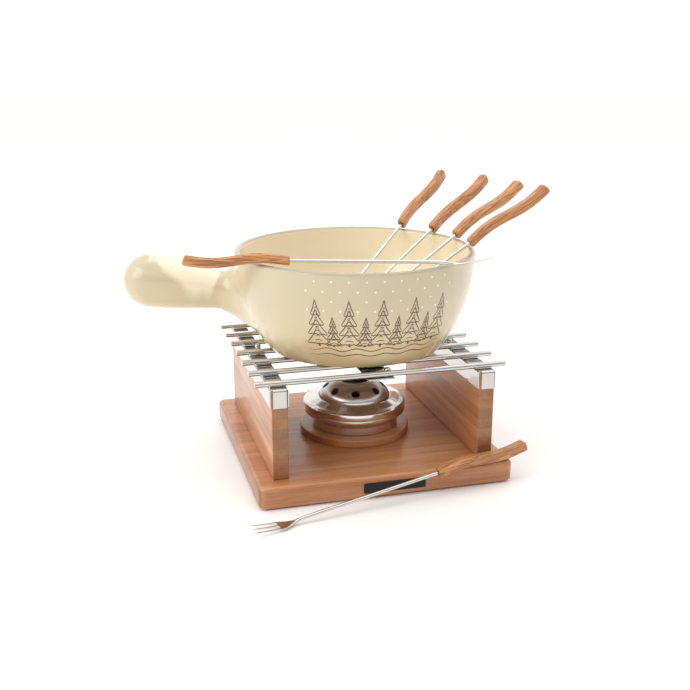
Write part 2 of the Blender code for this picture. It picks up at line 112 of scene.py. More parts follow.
class Shader(NodeTree):
    """A material built on its Principled surface."""

    def __init__(self, name, **sockets):
        self.material = bpy.data.materials.new(name)
        self.material.use_nodes = True
        super().__init__(self.material.node_tree)
        self.surface = self.tree.nodes["Principled BSDF"]
        for socket, value in sockets.items():
            self.surface.inputs[socket.replace("_", " ")].default_value = value

    def drive(self, socket, value):
        self.tree.links.new(value, self.surface.inputs[socket])

    def place(self):
        """Where a point is in its object's own frame."""
        return self.node("TexCoord").outputs["Object"]

    def facing(self):
        """The three parts of the surface's direction, in the object's own frame."""
        return self.parts(self.node("TexCoord").outputs["Normal"])

    def stretch(self, vector, scale):
        return self.node("Mapping", {"Vector": vector, "Scale": scale}).outputs["Vector"]

    def noise(self, vector, scale, detail=3.0, roughness=0.5, distortion=0.0):
        sockets = {"Vector": vector, "Scale": scale, "Detail": detail, "Roughness": roughness,
                   "Distortion": distortion}
        return self.node("TexNoise", sockets).outputs["Fac"]

    def ramp(self, value, *stops):
        node = self.node("ValToRGB", {"Fac": value})
        elements = node.color_ramp.elements
        while len(elements) < len(stops):
            elements.new(0.5)
        for element, (position, colour) in zip(elements, stops):
            element.position = position
            element.color = (*colour, 1.0)
        return node.outputs["Color"]

    def mix(self, share, first, second):
        """Mix two colours, each a socket or three numbers."""
        colours = [value if isinstance(value, bpy.types.NodeSocket) else (*value, 1.0)
                   for value in (first, second)]
        return self.node("Mix", {0: share, 6: colours[0], 7: colours[1]}, data_type="RGBA").outputs[2]

    def bump(self, height, distance, strength):
        """Drive the surface's normal with a relief."""
        sockets = {"Height": height, "Distance": distance, "Strength": strength}
        self.drive("Normal", self.node("Bump", sockets).outputs["Normal"])


def laminated_wood(name, grain_axis, stack_axis, strip, seed, tones, dark, middle, light):
    """Lacquered strips glued side by side. Each strip has its own tone and its own run of grain."""
    shader = Shader(name, Coat_Weight=0.55, Coat_Roughness=0.17, Specular_IOR_Level=0.4)
    place = shader.place()
    row = shader.maths("ADD", shader.maths("DIVIDE", shader.parts(place)[stack_axis], strip), seed)
    number = shader.maths("FLOOR", row)
    chance = shader.node("TexWhiteNoise", {"W": number}, noise_dimensions="1D")
    drift = shader.node("VectorMath", {0: chance.outputs["Color"], "Scale": 7.0}, operation="SCALE")
    moved = shader.node("VectorMath", {0: place, 1: drift.outputs[0]}, operation="ADD").outputs[0]

    def along_grain(length, width):
        return [1 / length if axis == grain_axis else 1 / width for axis in range(3)]

    broad = shader.noise(shader.stretch(moved, along_grain(0.16, 0.012)), 1.0, 3.0, 0.55, 0.6)
    fibre = shader.noise(shader.stretch(moved, along_grain(0.03, 0.0011)), 1.0, 4.0, 0.62)
    pores = shader.noise(shader.stretch(moved, along_grain(0.009, 0.00042)), 1.0, 2.0, 0.6)
    grain = shader.maths("ADD", shader.maths("MULTIPLY", broad, 0.62),
                         shader.maths("MULTIPLY", fibre, 0.38))
    colour = shader.ramp(grain, (0.30, dark), (0.50, middle), (0.68, light))
    flecks = shader.spread(pores, 0.0, 0.34, 0.58, 0.78)
    colour = shader.mix(flecks, colour, [part * 0.45 for part in dark])
    tone = shader.spread(chance.outputs["Value"], *tones)
    warmth = shader.node("HueSaturation", {"Color": colour, "Value": tone, "Saturation": 1.04})
    # A hair line of glue between two strips
    within = shader.maths("FRACT", row)
    edge = shader.maths("MINIMUM", within, shader.maths("SUBTRACT", 1.0, within))
    seam = shader.spread(edge, 0.30, 0.0, 0.0, 0.0004 / strip)
    planks = shader.mix(seam, warmth.outputs[0], [part * 0.4 for part in dark])
    # Sawn ends are darker: partly the end grain, which soaks up the lacquer, and partly painted shade, which
    # darkens the front faces of the walls
    end_grain = shader.maths("ABSOLUTE", shader.facing()[grain_axis])
    end_grain_and_shade = shader.spread(end_grain, 0.0, 0.55, 0.5, 0.8)
    shader.drive("Base Color", shader.mix(end_grain_and_shade, planks, [part * 0.55 for part in dark]))
    shader.drive("Roughness", shader.spread(fibre, 0.34, 0.52, 0.3, 0.7))
    relief = shader.maths("SUBTRACT", fibre, shader.maths("MULTIPLY", seam, 0.8))
    shader.bump(relief, 0.00008, 0.6)
    return shader.material


def streaked_wood():
    """Oiled hardwood with dark veins that run along the grip."""
    shader = Shader("olive_wood", Coat_Weight=0.30, Coat_Roughness=0.20)
    place = shader.node("Attribute", attribute_name="own_place").outputs["Vector"]
    veins = shader.noise(shader.stretch(place, (16, 190, 190)), 1.0, 2.0, 0.5, 1.6)
    fibre = shader.noise(shader.stretch(place, (45, 900, 900)), 1.0, 4.0, 0.6)
    body = shader.ramp(fibre, (0.30, (0.44, 0.165, 0.050)), (0.52, (0.61, 0.265, 0.092)),
                       (0.72, (0.72, 0.370, 0.150)))
    streak = shader.ramp(veins, (0.40, (0, 0, 0)), (0.50, (0.75, 0.75, 0.75)), (0.58, (0, 0, 0)))
    shader.drive("Base Color", shader.mix(streak, body, (0.185, 0.056, 0.018)))
    shader.drive("Roughness", shader.spread(fibre, 0.33, 0.55, 0.3, 0.7))
    shader.bump(fibre, 0.00006, 0.7)
    return shader.material


def chrome_plate():
    """Bright plating with faint wipe marks."""
    shader = Shader("chrome", Base_Color=(0.60, 0.585, 0.565, 1), Metallic=1.0)
    place = shader.place()
    smudge = shader.noise(place, 38.0, 4.0, 0.6)
    scratch = shader.noise(shader.stretch(place, (60, 900, 900)), 1.0, 3.0, 0.7)
    haze = shader.maths("ADD", shader.spread(smudge, 0.035, 0.12, 0.45, 0.75),
                        shader.spread(scratch, 0.0, 0.05, 0.55, 0.8))
    shader.drive("Roughness", haze)
    shader.bump(smudge, 0.00006, 0.25)
    return shader.material


def polished_rod():
    shader = Shader("polished_rod", Base_Color=(0.68, 0.66, 0.63, 1), Metallic=1.0)
    place = shader.place()
    lines = shader.noise(shader.stretch(place, (25, 2600, 2600)), 1.0, 3.0, 0.6)
    shader.drive("Roughness", shader.spread(lines, 0.12, 0.26, 0.3, 0.7))
    shader.bump(lines, 0.00002, 0.5)
    return shader.material


def spun_steel(name, colour, low, high):
    """Sheet steel turned on a lathe: fine rings, and a sheen that runs round them."""
    shader = Shader(name, Base_Color=(*colour, 1), Metallic=1.0, Anisotropic=0.45)
    place = shader.place()
    parts = shader.parts(place)
    square = shader.maths("ADD", shader.maths("POWER", parts[0], 2.0),
                          shader.maths("POWER", parts[1], 2.0))
    radius = shader.maths("SQRT", square)
    section = shader.node("CombineXYZ", {0: radius, 1: parts[2], 2: 0.0}).outputs[0]
    rings = shader.noise(shader.stretch(section, (2600, 2600, 1)), 1.0, 3.0, 0.65)
    stain = shader.noise(place, 26.0, 3.0, 0.55)
    rough = shader.maths("ADD", shader.spread(rings, low, high, 0.3, 0.7),
                         shader.spread(stain, 0.0, 0.07, 0.45, 0.8))
    shader.drive("Roughness", rough)
    shader.bump(rings, 0.00003, 0.45)
    shader.drive("Tangent", shader.node("Tangent", direction_type="RADIAL", axis="Z").outputs[0])
    return shader.material


def cream_glaze():
    """Glossy cream over buff clay, bare underneath. Its colour shifts with height as a painted warm
    reflection of the wooden stand, it is lightened inside as painted light, and it is darker on the lip.
    """
    shader = Shader("cream_glaze", Coat_Weight=0.45, Coat_Roughness=0.11, Coat_IOR=1.5,
                    Subsurface_Weight=0.06, Subsurface_Scale=0.004)
    place = shader.place()
    parts, facing = shader.parts(place), shader.facing()
    height = shader.maths("SUBTRACT", parts[2], POT_LOW.z)
    cloud = shader.noise(place, 17.0, 3.0, 0.5)
    level = shader.maths("ADD", height, shader.spread(cloud, -0.010, 0.010, 0.3, 0.7))
    # Painted warm reflection of the stand and painted light: the cream is warmer and more tan low on the wall
    # than near the rim.
    warm_reflection_share = shader.spread(level, 0.0, 1.0, 0.000, 0.080)
    colour = shader.ramp(warm_reflection_share, (0.0, (0.67, 0.512, 0.290)), (0.35, (0.70, 0.572, 0.358)),
                         (0.75, (0.615, 0.520, 0.352)), (1.0, (0.600, 0.512, 0.352)))
    # Darker on the lip: a thin ring at the top of the rim gets a darker colour.
    lip_share = shader.spread(height, 0.0, 1.0, POT_HEIGHT - 0.0022, POT_HEIGHT - 0.0006)
    # Painted light inside the bowl: its shaded wall and floor are given a lighter cream.
    inward = shader.maths("ADD", shader.maths("MULTIPLY", parts[0], facing[0]),
                          shader.maths("MULTIPLY", parts[1], facing[1]))
    inner_wall_light = shader.spread(inward, 1.0, 0.0, -0.012, 0.0)
    faces_up = shader.spread(facing[2], 0.0, 1.0, 0.3, 0.7)
    inner_floor_light = shader.maths("MULTIPLY", faces_up, shader.spread(height, 1.0, 0.0, 0.020, 0.030))
    inside = shader.maths("MAXIMUM", inner_wall_light, inner_floor_light)
    # Painted light: the lighter cream inside the bowl.
    colour = shader.mix(inside, colour, (0.88, 0.785, 0.585))
    colour = shader.mix(lip_share, colour, (0.44, 0.375, 0.255))
    speck = shader.noise(place, 900.0, 1.0, 0.5)
    colour = shader.mix(shader.spread(speck, 0.0, 0.22, 0.74, 0.80), colour, (0.42, 0.28, 0.14))
    bare = shader.spread(height, 1.0, 0.0, 0.0004, 0.0010)
    shader.drive("Base Color", shader.mix(bare, colour, (0.52, 0.34, 0.19)))
    matte = shader.maths("MULTIPLY", bare, 0.55)
    shader.drive("Roughness", shader.maths("ADD", matte, shader.spread(cloud, 0.15, 0.24, 0.35, 0.7)))
    ripple = shader.noise(place, 85.0, 2.0, 0.45)
    shader.bump(ripple, 0.00010, 0.35)
    return shader.material


def glazed_paint(name, colour):
    """Paint of the drawing, under the same clear glaze."""
    shader = Shader(name, Coat_Weight=0.5, Coat_Roughness=0.08)
    wash = shader.noise(shader.place(), 420.0, 3.0, 0.6)
    shader.drive("Base Color", shader.mix(shader.spread(wash, 0.0, 0.45, 0.4, 0.75), colour,
                                          [min(1.0, part * 2.2 + 0.03) for part in colour]))
    shader.drive("Roughness", shader.spread(wash, 0.22, 0.34, 0.3, 0.7))
    return shader.material


def label_black():
    shader = Shader("label_black", Specular_IOR_Level=0.3)
    grain = shader.noise(shader.stretch(shader.place(), (90, 1500, 1500)), 1.0, 3.0, 0.6)
    shader.drive("Base Color", shader.ramp(grain, (0.3, (0.006, 0.005, 0.005)), (0.7, (0.018, 0.016, 0.014))))
    shader.drive("Roughness", shader.spread(grain, 0.30, 0.50, 0.3, 0.7))
    shader.bump(grain, 0.00003, 0.5)
    return shader.material


def mineral_wool():
    shader = Shader("mineral_wool", Sheen_Weight=0.4)
    place = shader.place()
    tufts = shader.noise(place, 520.0, 5.0, 0.72, 1.2)
    shader.drive("Base Color", shader.ramp(tufts, (0.3, (0.34, 0.31, 0.26)), (0.7, (0.70, 0.67, 0.60))))
    shader.drive("Roughness", shader.spread(tufts, 0.85, 1.0))
    shader.bump(tufts, 0.0008, 0.9)
    return shader.material


# ---------------------------------------------------------------- shapes


def linked(name, data):
    """Put data in the scene as a new object."""
    thing = bpy.data.objects.new(name, data)
    bpy.context.scene.collection.objects.link(thing)
    return thing


def mesh_of(name, shape):
    """Turn a bmesh into a mesh whose faces look outward."""
    bmesh.ops.recalc_face_normals(shape, faces=shape.faces)
    mesh = bpy.data.meshes.new(name)
    shape.to_mesh(mesh)
    shape.free()
    return mesh


def applied(thing):
    """Return the mesh that an object's modifiers make, and remove the object."""
    evaluated = thing.evaluated_get(bpy.context.evaluated_depsgraph_get())
    mesh = bpy.data.meshes.new_from_object(evaluated)
    bpy.data.objects.remove(thing, do_unlink=True)
    return mesh


def finish_piece(name, shape, material, body, slot, *nodes, matrix=None, sharp=SHARP):
    """Turn a bmesh or mesh into a named piece that rides on a body and stands for CAD nodes."""
    mesh = mesh_of(name, shape) if isinstance(shape, bmesh.types.BMesh) else shape
    mesh.materials.clear()
    mesh.materials.append(material)
    if sharp is not None:
        mesh.shade_smooth()
        mesh.set_sharp_from_angle(angle=sharp)
    if matrix:
        mesh.transform(matrix)
    piece = linked(name, mesh)
    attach(piece, body)
    if nodes:
        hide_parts(*nodes)
    return piece


def keep_place(mesh, shift):
    """Store each point's own place, moved along by a shift, so that grain follows a tilted piece."""
    places = np.zeros(len(mesh.vertices) * 3)
    mesh.vertices.foreach_get("co", places)
    places = places.reshape(-1, 3) + (shift, 0.3 * shift, 0.7 * shift)
    mesh.attributes.new("own_place", "FLOAT_VECTOR", "POINT").data.foreach_set("vector", places.ravel())


def bridge(shape, rings):
    """Join each ring of vertices to the next with four-sided faces."""
    for ring, following in zip(rings, rings[1:]):
        for index, corner in enumerate(ring):
            after = (index + 1) % len(ring)
            shape.faces.new((corner, ring[after], following[after], following[index]))


def lofted(sections, shape=None):
    """Skin a row of point rings and close both ends."""
    shape = shape or bmesh.new()
    rings = [[shape.verts.new(point) for point in section] for section in sections]
    bridge(shape, rings)
    shape.faces.new(rings[0])
    shape.faces.new(rings[-1])
    return shape


def turned(outline, sides):
    """Turn (radius, height) points about Z. An outline off the axis is a closed loop, a ring."""
    shape = bmesh.new()
    rings = []
    for radius, height in outline:
        if radius == 0:
            rings.append([shape.verts.new((0, 0, height))])
            continue
        angles = [2 * pi * side / sides for side in range(sides)]
        rings.append([shape.verts.new((radius * cos(a), radius * sin(a), height)) for a in angles])
    if all(radius > 0 for radius, _ in outline):
        rings.append(rings[0])
    for ring, following in zip(rings, rings[1:]):
        for side in range(sides):
            after = (side + 1) % sides
            if len(ring) == 1:
                shape.faces.new((ring[0], following[after], following[side]))
            elif len(following) == 1:
                shape.faces.new((ring[side], ring[after], following[0]))
            else:
                shape.faces.new((ring[side], ring[after], following[after], following[side]))
    return shape


def soften(outline, radius, steps=4, closed=False):
    """Round an outline's corners. A point's third number is a radius of its own."""
    count = len(outline)
    result = []
    for index, point in enumerate(outline):
        here = Vector(point[:2])
        if not closed and index in (0, count - 1):
            result.append(tuple(here))
            continue
        before = Vector(outline[index - 1][:2]) - here
        after = Vector(outline[(index + 1) % count][:2]) - here
        half = before.angle(after) / 2
        size = point[2] if len(point) > 2 else radius
        if size == 0 or half > radians(86):
            result.append(tuple(here))
            continue
        reach = min(size / max(abs(sin(half) / cos(half)), 1e-6), 0.45 * before.length, 0.45 * after.length)
        start = here + before.normalized() * reach
        end = here + after.normalized() * reach
        for step in range(steps + 1):
            t = step / steps
            result.append(tuple((1 - t) ** 2 * start + 2 * t * (1 - t) * here + t * t * end))
    return result


def rounded_rectangle(half_x, half_y, radius, steps=6):
    points = []
    for quarter, (side_x, side_y) in enumerate(((1, 1), (-1, 1), (-1, -1), (1, -1))):
        for step in range(steps + 1):
            angle = pi / 2 * (quarter + step / steps)
            points.append((side_x * (half_x - radius) + radius * cos(angle),
                           side_y * (half_y - radius) + radius * sin(angle)))
    return points


def rounded_block(low, high, corner, edge, steps=6):
    """A block whose upright corners and whose top and bottom edges are rounded."""
    middle = (low + high) / 2
    half = (high - low) / 2
    sections = []
    quarter = [pi / 2 * step / steps for step in range(steps + 1)]
    levels = [(edge * (1 - sin(a)), low.z + edge * (1 - cos(a))) for a in quarter]
    levels += [(edge * (1 - cos(a)), high.z - edge * (1 - sin(a))) for a in quarter]
    for inset, height in levels:
        outline = rounded_rectangle(half.x - inset, half.y - inset, max(corner - inset, 0.0001), steps)
        sections.append([(middle.x + x, middle.y + y, height) for x, y in outline])
    return lofted(sections)


def combine(blank, *steps):
    """Cut or join shapes, each given with its Boolean operation, and return the finished mesh."""
    body = linked("step", mesh_of("step", blank))
    tools = []
    for shape, operation in steps:
        tools.append(linked("step", mesh_of("step", shape)))
        modifier = body.modifiers.new("step", "BOOLEAN")
        modifier.operation = operation
        modifier.object = tools[-1]
    mesh = applied(body)
    for tool in tools:
        bpy.data.objects.remove(tool, do_unlink=True)
    return mesh


def with_copies(shape, frames):
    """Return one shape that holds a copy of the given shape at each frame."""
    pattern = bmesh.new()
    for matrix in frames:
        single = shape.copy()
        single.transform(matrix)
        add_shape(pattern, single)
    shape.free()
    return pattern


def add_shape(shape, other):
    """Add one shape's faces to another."""
    mesh = mesh_of("added", other)
    shape.from_mesh(mesh)
    bpy.data.meshes.remove(mesh)


def ease(piece, width):
    """Take the sharpness off the edges of a cut or folded sheet."""
    modifier = piece.modifiers.new("ease", "BEVEL")
    modifier.width = width
    modifier.segments = 2
    modifier.limit_method = "ANGLE"
    modifier.angle_limit = radians(40)
    modifier.use_clamp_overlap = True
    modifier.harden_normals = True


# ---------------------------------------------------------------- stand


def build_stand(bright):
    dark, middle, light = (0.345, 0.134, 0.056), (0.530, 0.235, 0.108), (0.650, 0.330, 0.168)
    board_wood = laminated_wood("board_wood", 0, 1, 0.0262, 11.4, (0.82, 1.10), dark, middle, light)
    wall_wood = laminated_wood("wall_wood", 1, 2, 0.0092, 5.8, (0.72, 1.12), dark, middle, light)
    seat_wood = laminated_wood("seat_wood", 0, 1, 0.034, 3.7, (0.80, 0.95), dark, middle, light)

    screws = [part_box(f"wall_screw_{number}") for number in range(1, 5)]
    frames = [Matrix.Translation(((low.x + high.x) / 2, (low.y + high.y) / 2, low.z)) for low, high in screws]
    low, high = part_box("base_board")
    holes = with_copies(turned(screw_outline(CLEARANCE), 32), frames)
    board = combine(rounded_block(low, high, 0.0065, 0.0040), (holes, "DIFFERENCE"))
    finish_piece("laminated_board", board, board_wood, "stand", "bamboo", "base_board")
    for side in ("left", "right"):
        low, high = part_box(side + "_wall")
        places = [matrix for matrix in frames if low.x < matrix.translation.x < high.x]
        pilots = with_copies(turned(screw_outline(CLEARANCE), 32), places)
        wall = combine(rounded_block(low, high, 0.0011, 0.0007, 3), (pilots, "DIFFERENCE"))
        finish_piece(side + "_side_wall", wall, wall_wood, "stand", "bamboo", side + "_wall")

    low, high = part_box("burner_seat")
    radius, height = high.x, high.z - low.z
    outline = soften([(0, 0), (radius, 0, 0.0004), (radius, height, 0.0016), (0, height)], 0.001, 6)
    finish_piece("raised_seat", turned(outline, 128), seat_wood, "stand", "bamboo", "burner_seat",
                 matrix=Matrix.Translation((0, 0, low.z)))

    for number, matrix in enumerate(frames, 1):
        cross = [box_between(Vector((-x, -y, -0.001)), Vector((x, y, 0.0022)))
                 for x, y in ((0.0022, 0.00045), (0.00045, 0.0022))]
        head = combine(turned(screw_outline(0), 32), *((arm, "DIFFERENCE") for arm in cross))
        finish_piece(f"countersunk_screw_{number}", head, bright, "stand", "steel", f"wall_screw_{number}",
                     matrix=matrix)

    low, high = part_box("blank_plaque")
    plate = rounded_block(Vector((low.x, low.z, low.y)), Vector((high.x, high.z, high.y)), 0.0012, 0.0003, 4)
    plate.transform(Matrix(((1, 0, 0, 0), (0, 0, 1, 0), (0, 1, 0, 0), (0, 0, 0, 1))))
    finish_piece("blank_label", plate, label_black(), "stand", "plaque", "blank_plaque")


def box_between(low, high):
    shape = bmesh.new()
    bmesh.ops.create_cube(shape, size=1.0)
    bmesh.ops.scale(shape, vec=high - low, verts=shape.verts)
    bmesh.ops.translate(shape, vec=(low + high) / 2, verts=shape.verts)
    return shape


def screw_outline(clearance):
    """Half outline of a countersunk screw, head face at 0 and point at the top, or of its hole."""
    head, shank, head_length, length = 0.0040 + clearance, 0.00175 + clearance, 0.0030, 0.040
    return [(0, -10 * clearance), (head, -10 * clearance), (head, 0.0002), (shank, head_length),
            (shank, length - 0.004), (0, length + clearance)]


# ---------------------------------------------------------------- grate


def channel_mesh(low, high):
    """A folded chrome sheet: a top with two long flanges, and a tab turned down at each end."""
    sheet, fold, slot = 1.0 * MM, 2.4 * MM, 1.5 * MM
    half_width = (high.x - low.x) / 2
    half_depth = (high.y - low.y) / 2
    drop = high.z - low.z

    def bent(half, inset):
        """The rounded top half of an upside-down U, offset inward."""
        points = []
        for side, start in ((1, 0), (-1, pi / 2)):
            for step in range(7):
                angle = start + pi / 2 * step / 6
                reach = fold - inset
                points.append((side * (half - fold) + reach * cos(angle), drop - fold + reach * sin(angle)))
        return points

    def folded(half):
        outer = [(half, 0), *bent(half, 0), (-half, 0)]
        inner = [(half - sheet, 0), *bent(half, sheet), (sheet - half, 0)]
        return outer, inner

    def extruded(half, length, turn):
        outer, inner = folded(half)
        shape = bmesh.new()
        ends = []
        for y in (-length, length):
            ends.append([[shape.verts.new((x, y, z)) for x, z in line] for line in (outer, inner)])
        for line in (0, 1):
            first, second = ends[0][line], ends[1][line]
            for index in range(len(first) - 1):
                shape.faces.new((first[index], first[index + 1], second[index + 1], second[index]))
        for outer_line, inner_line in ends:
            for index in range(len(outer_line) - 1):
                shape.faces.new((outer_line[index], outer_line[index + 1], inner_line[index + 1],
                                 inner_line[index]))
        for index in (0, -1):
            shape.faces.new((ends[0][0][index], ends[1][0][index], ends[1][1][index], ends[0][1][index]))
        if turn:
            shape.transform(Matrix.Rotation(pi / 2, 4, "Z"))
        return shape

    flanges = extruded(half_width, half_depth - fold - 0.1 * MM, False)
    tabs = extruded(half_depth, half_width - sheet - slot, True)
    return combine(flanges, (tabs, "UNION"))


def build_grate(chrome):
    for side in ("left", "right"):
        low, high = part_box(side + "_channel")
        place = Matrix.Translation(((low.x + high.x) / 2, 0, low.z))
        channel = finish_piece(side + "_folded_channel", channel_mesh(low, high), chrome, "grate", "chrome",
                               side + "_channel", matrix=place)
        ease(channel, 0.18 * MM)

    for number in range(1, 8):
        low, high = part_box(f"grate_bar_{number}")
        radius = (high.z - low.z) / 2
        half = (high.x - low.x) / 2
        outline = soften([(0, -half), (radius, -half), (radius, half), (0, half)], 0.0006, 5)
        place = Matrix.Translation((0, (low.y + high.y) / 2, (low.z + high.z) / 2))
        finish_piece(f"round_bar_{number}", turned(outline, 40), chrome, "grate", "chrome",
                     f"grate_bar_{number}", matrix=place @ Matrix.Rotation(pi / 2, 4, "Y"))

    for end in ("front", "back"):
        low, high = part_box(end + "_stop_plate")
        finish_piece(end + "_flat_plate", rounded_block(low, high, 0.0008, 0.00035, 4), chrome, "grate",
                     "chrome", end + "_stop_plate")
    for side in ("front", "back", "left", "right"):
        low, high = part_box(side + "_stop_ball")
        radius = (high.z - low.z) / 2
        arc = [(radius * sin(pi * step / 20), radius - radius * cos(pi * step / 20)) for step in range(3, 20)]
        outline = [(0, 0), (0.45 * radius, 0), *arc, (0, 2 * radius)]
        place = Matrix.Translation(((low.x + high.x) / 2, (low.y + high.y) / 2, low.z))
        finish_piece(side + "_round_stop", turned(outline, 36), chrome, "grate", "chrome",
                     side + "_stop_ball", matrix=place)


# ---------------------------------------------------------------- pot


def bowl_curve(foot_radius, rim_radius, floor, steps):
    """Points of the rounded bowl wall, from the edge of its foot up to its rim."""
    points = []
    for step in range(steps + 1):
        angle = pi / 2 * (1 - step / steps)
        spread = cos(angle) ** BOWL_ROUNDNESS
        radius = foot_radius + (rim_radius - foot_radius) * spread
        points.append((radius, floor + (POT_HEIGHT - floor) * (1 - sin(angle) ** BOWL_STEEPNESS)))
    return points


def lip(side):
    """The rounded half of the rim on the outer (1) or inner (-1) side, from the side upward."""
    centre = POT_RADIUS - POT_WALL / 2 + side * (POT_WALL / 2 - POT_LIP)
    return [(centre + side * POT_LIP * cos(pi / 2 * step / 8),
             POT_HEIGHT - POT_LIP + POT_LIP * sin(pi / 2 * step / 8)) for step in range(9)]


def outline_distance(points, outline):
    """Signed distance from (radius, height) points to a closed outline, negative inside it."""
    distance = np.full(len(points), 1.0)
    inside = np.zeros(len(points), bool)
    for start, end in zip(outline, np.roll(outline, -1, axis=0)):
        edge = end - start
        offset = points - start
        share = np.clip(offset @ edge / max(edge @ edge, 1e-12), 0, 1)
        distance = np.minimum(distance, np.linalg.norm(offset - share[:, None] * edge, axis=1))
        crossing = (start[1] > points[:, 1]) != (end[1] > points[:, 1])
        rise = edge[1] if abs(edge[1]) > 1e-12 else 1e-12
        inside ^= crossing & (points[:, 0] < start[0] + (points[:, 1] - start[1]) * edge[0] / rise)
    return np.where(inside, -distance, distance)


class SectionField:
    """Signed distance to a turned outline, looked up in a grid of the half plane."""

    SPACING = 0.0005
    CORNER = np.array((-0.010, -0.040))
    COUNTS = (480, 320)

    def __init__(self, outline):
        steps = [np.arange(count) * self.SPACING for count in self.COUNTS]
        grid = np.stack(np.meshgrid(*steps, indexing="ij"), -1).reshape(-1, 2) + self.CORNER
        self.values = outline_distance(grid, np.array(outline)).reshape(self.COUNTS)

    def __call__(self, points):
        flat = np.stack([np.hypot(points[:, 0], points[:, 1]), points[:, 2]], 1)
        scaled = (flat - self.CORNER) / self.SPACING
        cell = np.clip(scaled.astype(int), 0, np.array(self.COUNTS) - 2)
        share = scaled - cell
        i, j = cell.T
        s, t = share.T
        v = self.values
        return ((v[i, j] * (1 - s) + v[i + 1, j] * s) * (1 - t)
                + (v[i, j + 1] * (1 - s) + v[i + 1, j + 1] * s) * t)


class PotSurface:
    """The pot as a distance field: a turned bowl with a bulbous handle that flows into its wall."""

    FILLET = 0.026
    FLATTENING = 0.93
    # Along the handle: distance out, height of its middle, radius
    HANDLE = ((0.100, 0.0418, 0.0178), (0.112, 0.0450, 0.0168), (0.125, 0.0487, 0.0166),
              (0.142, 0.0523, 0.0195), (0.160, 0.0555, 0.0230), (0.176, 0.0577, 0.0245),
              (0.1885, 0.0588, 0.0245))

    def __init__(self):
        inside_axis = -0.009
        outside = bowl_curve(POT_FOOT_RADIUS, POT_RADIUS, 0, 90)[:-1]
        inside = bowl_curve(POT_FOOT_RADIUS - POT_WALL - 0.002, POT_RADIUS - POT_WALL, POT_FLOOR, 80)[:-1]
        above = POT_HEIGHT + 0.020
        crest = POT_RADIUS - POT_WALL / 2
        half_crest = POT_WALL / 2 - POT_LIP
        self.solid = SectionField([(inside_axis, 0), *outside, *lip(1), (inside_axis, POT_HEIGHT)])
        self.cavity = SectionField([(inside_axis, POT_FLOOR), *inside, *lip(-1),
                                    (crest - half_crest, above), (inside_axis, above)])
        rows = np.array(self.HANDLE)
        along = np.linspace(0, 1, 70)
        keys = np.linspace(0, 1, len(rows))
        smooth = [smooth_through(keys, rows[:, column], along) for column in range(3)]
        self.beads = np.stack(smooth, 1)

    def handle(self, points):
        distance = np.full(len(points), 1.0)
        y = points[:, 1] / self.FLATTENING
        for out, middle, radius in self.beads:
            reach = np.sqrt((points[:, 0] - out) ** 2 + y ** 2 + (points[:, 2] - middle) ** 2) - radius
            distance = np.minimum(distance, reach)
        return distance

    def __call__(self, points):
        bowl = self.solid(points)
        handle = self.handle(points)
        overlap = np.maximum(self.FILLET - np.abs(bowl - handle), 0) / self.FILLET
        joined = np.minimum(bowl, handle) - overlap ** 2 * self.FILLET / 4
        return np.maximum(joined, -self.cavity(points))

    def slope(self, points, step):
        columns = []
        for axis in range(3):
            shift = np.zeros(3)
            shift[axis] = step
            columns.append((self(points + shift) - self(points - shift)) / (2 * step))
        return np.stack(columns, 1)

    def settle(self, points, rounds):
        """Move points onto the surface."""
        least_slope = 0.05
        for _ in range(rounds):
            slope = self.slope(points, 0.2 * MM)
            length = np.maximum((slope ** 2).sum(1), least_slope)
            points = points - (self(points) / length)[:, None] * slope
        return points


def smooth_through(keys, values, places):
    """A smooth curve through values at even keys, read at the given places."""
    step = keys[1] - keys[0]
    slopes = np.gradient(values, step)
    index = np.clip(((places - keys[0]) / step).astype(int), 0, len(keys) - 2)
    t = (places - keys[index]) / step
    start, end = values[index], values[index + 1]
    return ((2 * t**3 - 3 * t**2 + 1) * start + (t**3 - 2 * t**2 + t) * step * slopes[index]
            + (-2 * t**3 + 3 * t**2) * end + (t**3 - t**2) * step * slopes[index + 1])


def build_pot(glaze):
    """Remesh the CAD pot evenly and settle every point on the smooth glazed surface."""
    source = linked("remesh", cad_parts["pot"].data.copy())
    source.data.transform(POT_FRAME.inverted())
    modifier = source.modifiers.new("even", "REMESH")
    modifier.mode = "VOXEL"
    modifier.voxel_size = 1.7 * MM
    mesh = applied(source)

    surface = PotSurface()
    points = np.zeros(len(mesh.vertices) * 3)
    mesh.vertices.foreach_get("co", points)
    points = surface.settle(points.reshape(-1, 3), 5)
    mesh.vertices.foreach_set("co", points.ravel())
    mesh.update()
    finish_piece("glazed_pot", mesh, glaze, "pot", "glaze", "pot", matrix=POT_FRAME, sharp=None)
    mesh.shade_smooth()
    normals = surface.slope(points, 0.0008) @ np.array(POT_FRAME.to_3x3()).T
    normals /= np.linalg.norm(normals, axis=1)[:, None]
    mesh.normals_split_custom_set_from_vertices([tuple(normal) for normal in normals])


# ---------------------------------------------------------------- drawing on the pot


